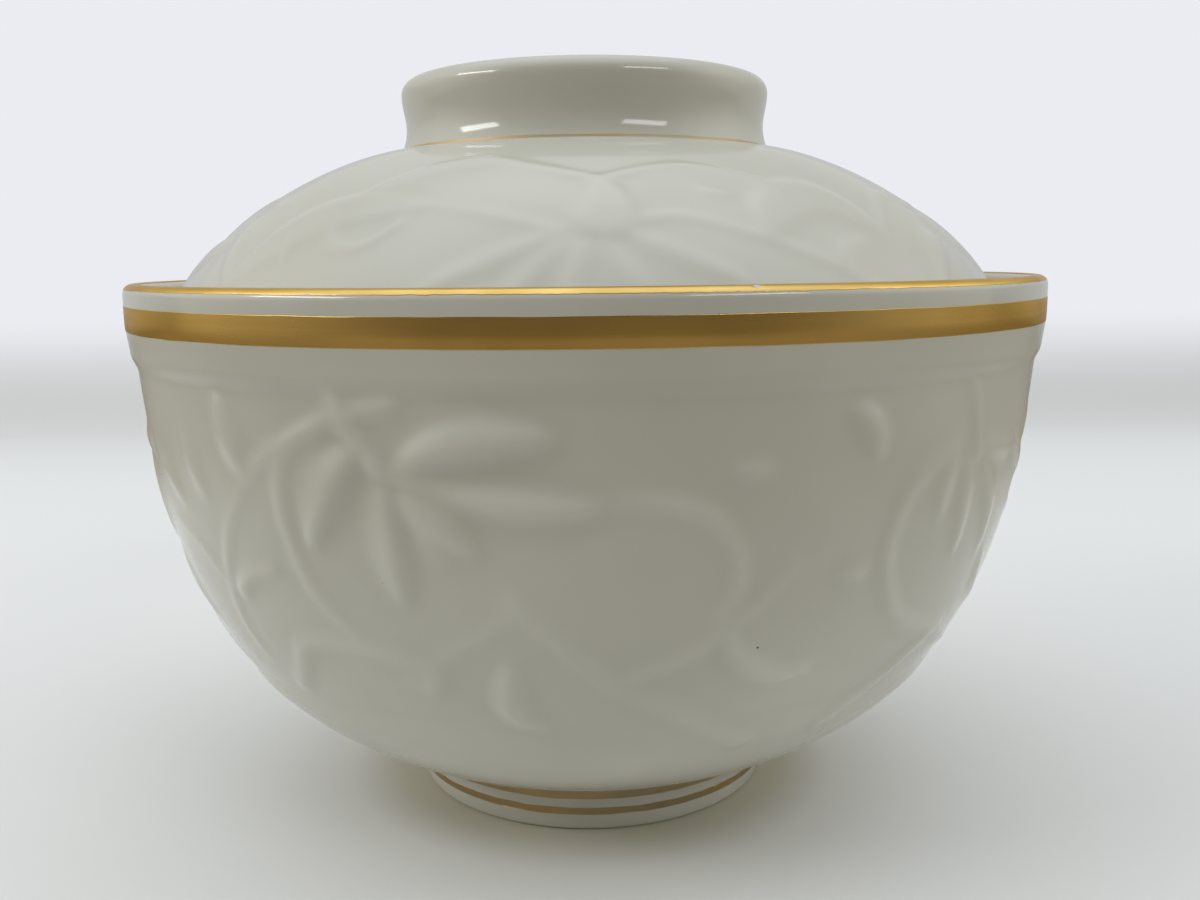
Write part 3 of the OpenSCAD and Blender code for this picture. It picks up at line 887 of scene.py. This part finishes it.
def backdropShader():
    s = stage
    material = bpy.data.materials.new("paleSweepPaper")
    tree = emptyTree(material)
    path = addNode(tree, "ShaderNodeLightPath")
    place = addNode(tree, "ShaderNodeNewGeometry")
    # the paper's painted shade further out from the piece, for all but camera rays
    distance = addNode(tree, "ShaderNodeVectorMath", {0: place.outputs["Position"], 1: s["brightAt"]},
                       operation="DISTANCE")
    reach = addNode(tree, "ShaderNodeMapRange", {
        "Value": distance.outputs["Value"], "From Min": s["nearReach"], "From Max": s["farReach"]},
        interpolation_type="SMOOTHSTEP")
    unseen = addNode(tree, "ShaderNodeMath", {0: 1.0, 1: path.outputs["Is Camera Ray"]}, operation="SUBTRACT")
    farShadeMask = addNode(tree, "ShaderNodeMath", {0: reach.outputs[0], 1: unseen.outputs[0]}, operation="MULTIPLY")
    paperWithFarShade = addNode(tree, "ShaderNodeMix", {
        "Factor": farShadeMask.outputs[0], "A": linearColour(s["paper"]), "B": linearColour(s["far"])},
        data_type="RGBA")
    # painted shadow: the paper is painted darker and warmer close round the foot
    fromFoot = addNode(tree, "ShaderNodeVectorMath", {0: place.outputs["Position"]}, operation="LENGTH")
    clearOfFoot = addNode(tree, "ShaderNodeMapRange", {
        "Value": fromFoot.outputs["Value"], "From Min": s["shadeStart"], "From Max": s["shadeEnd"]},
        interpolation_type="SMOOTHSTEP")
    shaded = addNode(tree, "ShaderNodeMix", {
        "Factor": clearOfFoot.outputs[0], "A": linearColour(s["shade"]), "B": paperWithFarShade.outputs["Result"]},
        data_type="RGBA")
    paper = addNode(tree, "ShaderNodeBsdfDiffuse", {"Color": shaded.outputs["Result"]})
    strength = addNode(tree, "ShaderNodeMapRange", {
        "Value": unseen.outputs[0], "To Min": 1.0, "To Max": s["backLight"]})
    glow = addNode(tree, "ShaderNodeEmission", {
        "Color": linearColour(s["glow"]), "Strength": strength.outputs[0]})
    height = addNode(tree, "ShaderNodeSeparateXYZ", {0: place.outputs["Position"]})
    upright = addNode(tree, "ShaderNodeMapRange", {"Value": height.outputs["Z"], "From Max": s["foldRadius"]},
                      interpolation_type="SMOOTHSTEP")
    face = addNode(tree, "ShaderNodeMixShader", {
        0: upright.outputs[0], 1: paper.outputs[0], 2: glow.outputs[0]})
    clear = addNode(tree, "ShaderNodeBsdfTransparent")
    back = addNode(tree, "ShaderNodeMath", {0: place.outputs["Backfacing"], 1: path.outputs["Is Camera Ray"]},
                   operation="MULTIPLY")  # its back is clear, so that views from below and behind see past it
    whole = addNode(tree, "ShaderNodeMixShader", {
        0: back.outputs[0], 1: face.outputs[0], 2: clear.outputs[0]})
    addNode(tree, "ShaderNodeOutputMaterial", {"Surface": whole.outputs[0]})
    return material


def addSweep():
    s = stage
    arc = [(s["foldAt"] + s["foldRadius"] * math.sin(a), s["foldRadius"] * (1 - math.cos(a)))
           for a in np.linspace(0, math.pi / 2, s["foldSteps"])]
    line = [(s["front"], 0), *arc, (s["foldAt"] + s["foldRadius"], s["wallTop"])]
    points = [(x, y, z) for y, z in line for x in (-s["halfWidth"], s["halfWidth"])]
    faces = [(2 * i, 2 * i + 1, 2 * i + 3, 2 * i + 2) for i in range(len(line) - 1)]
    sweep = addObject("sweep", points, faces, materials=[backdropShader()])


# Two broad lamps, high to the left and to the right of the camera, whose slanting light draws the relief
lampLook = dict(aim=(0, 0, 0.07), wide=0.62, tall=0.18, colour="#ffffff")
lamps = [
    dict(name="lampLeft", place=(-1.14, -0.37, 0.68), power=3.4),
    dict(name="lampRight", place=(0.74, -0.91, 0.75), power=2.2),
]


def addLamp(lamp):
    look = lampLook
    data = bpy.data.lights.new(lamp["name"], "AREA")
    data.shape, data.size, data.size_y, data.energy = "RECTANGLE", look["wide"], look["tall"], lamp["power"]
    data.color = linearColour(look["colour"])[:3]
    light = bpy.data.objects.new(lamp["name"], data)
    light.location = lamp["place"]
    away = Vector(lamp["place"]) - Vector(look["aim"])
    light.rotation_euler = away.to_track_quat("Z", "Y").to_euler()
    light.visible_camera = False
    bpy.context.scene.collection.objects.link(light)


# Soft room: a bright ceiling, walls that are brightest behind the piece and out at its sides, and a dim
# warm patch behind the camera. left, front and sides say how much each grows towards those ways. start and
# full are the cosines of the angles from its middle at which a part begins and is whole
room = dict(
    seen="#ebecf1",
    ceiling=dict(colour="#eff6ff", level=1.5, left=0.12, front=-0.12, sides=0.0, start=0.65, full=0.97),
    walls=dict(colour="#f6f6f0", level=0.36, left=0.08, front=-1.0, sides=1.4),
    dim=dict(colour="#f2e6d0", level=0.1, middle=(-0.12, -0.98, 0.1), start=0.55, full=0.97),
    sideRise=0.55, sidePower=8.0,  # how far up the bright sides lean, and how narrow they are
)


def setWorld():
    world = bpy.data.worlds.new("world")
    bpy.context.scene.world = world
    tree = emptyTree(world)
    ceiling, walls, dim = room["ceiling"], room["walls"], room["dim"]
    way = addNode(tree, "ShaderNodeTexCoord").outputs["Generated"]
    parts = addNode(tree, "ShaderNodeSeparateXYZ", {0: way})
    rise = addNode(tree, "ShaderNodeMapRange", {
        "Value": parts.outputs["Z"], "From Min": ceiling["start"], "From Max": ceiling["full"]},
        interpolation_type="SMOOTHSTEP")
    facing = addNode(tree, "ShaderNodeVectorMath", {0: way, 1: dim["middle"]}, operation="DOT_PRODUCT")
    front = addNode(tree, "ShaderNodeMapRange", {
        "Value": facing.outputs["Value"], "From Min": dim["start"], "From Max": dim["full"]},
        interpolation_type="SMOOTHSTEP")
    width = addNode(tree, "ShaderNodeMath", {0: parts.outputs["X"]}, operation="ABSOLUTE")
    outward = addNode(tree, "ShaderNodeMath", {
        0: parts.outputs["Z"], 1: room["sideRise"], 2: width.outputs[0]}, operation="MULTIPLY_ADD")
    edges = addNode(tree, "ShaderNodeMath", {0: outward.outputs[0], 1: room["sidePower"]}, operation="POWER")

    def glow(colour, level):
        light = addNode(tree, "ShaderNodeBackground", {"Color": linearColour(colour), "Strength": level})
        return light.outputs[0]

    def spread(look):
        total = 1.0
        for share, grows in ((parts.outputs["X"], -look["left"]), (parts.outputs["Y"], -look["front"]),
                             (edges.outputs[0], look["sides"])):
            total = addNode(tree, "ShaderNodeMath", {0: share, 1: grows, 2: total},
                            operation="MULTIPLY_ADD").outputs[0]
        level = addNode(tree, "ShaderNodeMath", {0: total, 1: look["level"]}, operation="MULTIPLY")
        return glow(look["colour"], level.outputs[0])

    around = addNode(tree, "ShaderNodeMixShader", {0: rise.outputs[0], 1: spread(walls), 2: spread(ceiling)})
    light = addNode(tree, "ShaderNodeMixShader", {
        0: front.outputs[0], 1: around.outputs[0], 2: glow(dim["colour"], dim["level"])})
    path = addNode(tree, "ShaderNodeLightPath")
    whole = addNode(tree, "ShaderNodeMixShader", {
        0: path.outputs["Is Camera Ray"], 1: light.outputs[0], 2: glow(room["seen"], 1)})
    addNode(tree, "ShaderNodeOutputWorld", {"Surface": whole.outputs[0]})


addSweep()
for lamp in lamps:
    addLamp(lamp)
setWorld()
bpy.context.scene.view_settings.view_transform = "Standard"
print("Stage and lamps set")
